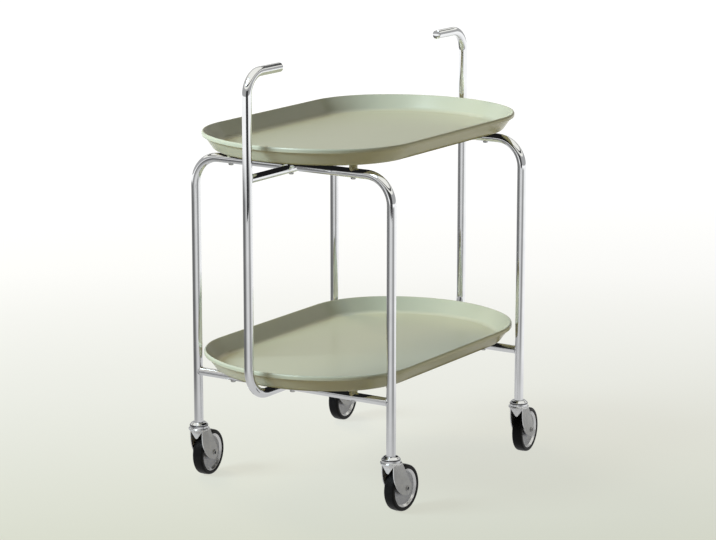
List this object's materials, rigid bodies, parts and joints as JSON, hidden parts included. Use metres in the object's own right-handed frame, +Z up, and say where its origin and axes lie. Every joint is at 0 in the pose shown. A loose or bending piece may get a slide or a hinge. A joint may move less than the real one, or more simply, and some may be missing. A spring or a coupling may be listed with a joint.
{
  "type": "rolling side table",
  "caption": "Rolling side table with an oval tray above and below, carried on bent chrome tubes, with an upright handle at each end and swivel casters.",
  "frame": {"origin": "on the floor, under the centre of the table", "axes": "+X along the trays and the handle frame, +Y across the trays, +Z up"},
  "size_m": [0.6536, 0.403, 0.7005],
  "materials": {
    "tray_lacquer": "satin",
    "chrome_tube": "polished",
    "screw_steel": "plated",
    "caster_chrome": "polished",
    "caster_steel": "turned",
    "fork_steel": "satin",
    "hub_plastic": "satin",
    "socket_plastic": "matt",
    "tyre_rubber": "matt"
  },
  "bodies": {
    "frame": {"upper_tray": "tray_lacquer", "lower_tray": "tray_lacquer", "upper_standoffs": "tray_lacquer", "lower_standoffs": "tray_lacquer", "upper_tray_screws": "screw_steel", "lower_tray_screws": "screw_steel", "upper_crossing_screws": "screw_steel", "lower_crossing_screws": "screw_steel", "rivet_nuts": "screw_steel", "handle_frame": "chrome_tube", "top_rail": "chrome_tube", "left_leg_hoop": "chrome_tube", "right_leg_hoop": "chrome_tube", "left_crossbar": "chrome_tube", "right_crossbar": "chrome_tube", "left_grip_cap": "chrome_tube", "right_grip_cap": "chrome_tube", "front_left_socket": "socket_plastic", "front_left_stem": "caster_steel", "front_left_cap": "caster_chrome", "rear_left_socket": "socket_plastic", "rear_left_stem": "caster_steel", "rear_left_cap": "caster_chrome", "front_right_socket": "socket_plastic", "front_right_stem": "caster_steel", "front_right_cap": "caster_chrome", "rear_right_socket": "socket_plastic", "rear_right_stem": "caster_steel", "rear_right_cap": "caster_chrome"},
    "front_left_swivel": {"front_left_ball_cup": "caster_chrome", "front_left_balls": "caster_steel", "front_left_fork": "fork_steel", "front_left_axle": "caster_steel", "front_left_sleeve": "caster_steel"},
    "front_left_wheel": {"front_left_hub": "hub_plastic", "front_left_tyre": "tyre_rubber"},
    "rear_left_swivel": {"rear_left_ball_cup": "caster_chrome", "rear_left_balls": "caster_steel", "rear_left_fork": "fork_steel", "rear_left_axle": "caster_steel", "rear_left_sleeve": "caster_steel"},
    "rear_left_wheel": {"rear_left_hub": "hub_plastic", "rear_left_tyre": "tyre_rubber"},
    "front_right_swivel": {"front_right_ball_cup": "caster_chrome", "front_right_balls": "caster_steel", "front_right_fork": "fork_steel", "front_right_axle": "caster_steel", "front_right_sleeve": "caster_steel"},
    "front_right_wheel": {"front_right_hub": "hub_plastic", "front_right_tyre": "tyre_rubber"},
    "rear_right_swivel": {"rear_right_ball_cup": "caster_chrome", "rear_right_balls": "caster_steel", "rear_right_fork": "fork_steel", "rear_right_axle": "caster_steel", "rear_right_sleeve": "caster_steel"},
    "rear_right_wheel": {"rear_right_hub": "hub_plastic", "rear_right_tyre": "tyre_rubber"}
  },
  "joints": [
    {"name": "front_left_swivel_turn", "type": "hinge", "parent": "frame", "child": "front_left_swivel", "pos_m": [-0.2007, -0.18443, 0.0825], "axis": [0, 0, 1], "continuous": true},
    {"name": "front_left_wheel_spin", "type": "hinge", "parent": "front_left_swivel", "child": "front_left_wheel", "pos_m": [-0.17172, -0.18544, 0.0375], "axis": [0.0349, 0.9994, 0], "continuous": true},
    {"name": "rear_left_swivel_turn", "type": "hinge", "parent": "frame", "child": "rear_left_swivel", "pos_m": [-0.2007, 0.18443, 0.0825], "axis": [0, 0, 1], "continuous": true},
    {"name": "rear_left_wheel_spin", "type": "hinge", "parent": "rear_left_swivel", "child": "rear_left_wheel", "pos_m": [-0.17186, 0.18746, 0.0375], "axis": [-0.1045, 0.9945, 0], "continuous": true},
    {"name": "front_right_swivel_turn", "type": "hinge", "parent": "frame", "child": "front_right_swivel", "pos_m": [0.2007, -0.18443, 0.0825], "axis": [0, 0, 1], "continuous": true},
    {"name": "front_right_wheel_spin", "type": "hinge", "parent": "front_right_swivel", "child": "front_right_wheel", "pos_m": [0.22948, -0.1809, 0.0375], "axis": [-0.1219, 0.9925, 0], "continuous": true},
    {"name": "rear_right_swivel_turn", "type": "hinge", "parent": "frame", "child": "rear_right_swivel", "pos_m": [0.2007, 0.18443, 0.0825], "axis": [0, 0, 1], "continuous": true},
    {"name": "rear_right_wheel_spin", "type": "hinge", "parent": "rear_right_swivel", "child": "rear_right_wheel", "pos_m": [0.22963, 0.18646, 0.0375], "axis": [-0.0698, 0.9976, 0], "continuous": true}
  ]
}
